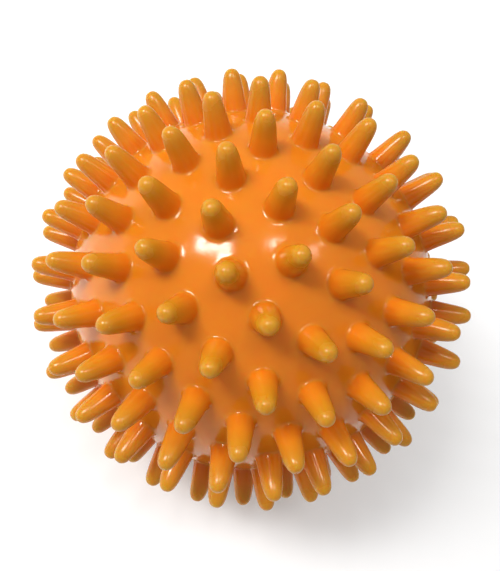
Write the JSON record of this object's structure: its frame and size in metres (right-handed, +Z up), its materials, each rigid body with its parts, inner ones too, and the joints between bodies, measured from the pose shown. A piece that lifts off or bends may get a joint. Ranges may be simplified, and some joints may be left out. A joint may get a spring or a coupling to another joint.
{
  "type": "massage ball",
  "caption": "Hollow, glossy, soft plastic massage ball covered in rows of short round-tipped spikes, with a rubber needle valve set in its wall.",
  "frame": {"origin": "on the mould axis through both poles, level with the tips of the six lowest spikes that the ball stands on, so 43.7 mm below the ball's centre", "axes": "+Z up along the mould axis, from the valve at the bottom pole to the single spike at the top pole; +X through one spike of the row just above the mould's parting line"},
  "size_m": [0.0894, 0.0894, 0.0887],
  "materials": {
    "ball_skin": "glossy, slightly translucent soft PVC, amber orange, lighter at the spike tips",
    "valve_housing": "soft PVC insert in the same orange, a little darker and less glossy",
    "valve_core": "matt soft rubber, dark grey"
  },
  "bodies": {
    "ball": {"ball_skin": "ball_skin", "valve_housing": "valve_housing"},
    "core": {"valve_core": "valve_core"}
  },
  "joints": [
    {"name": "valve_core_pull", "type": "slide", "parent": "ball", "child": "core", "axis": [0, 0, -1], "range_m": [0, 0.012]}
  ]
}
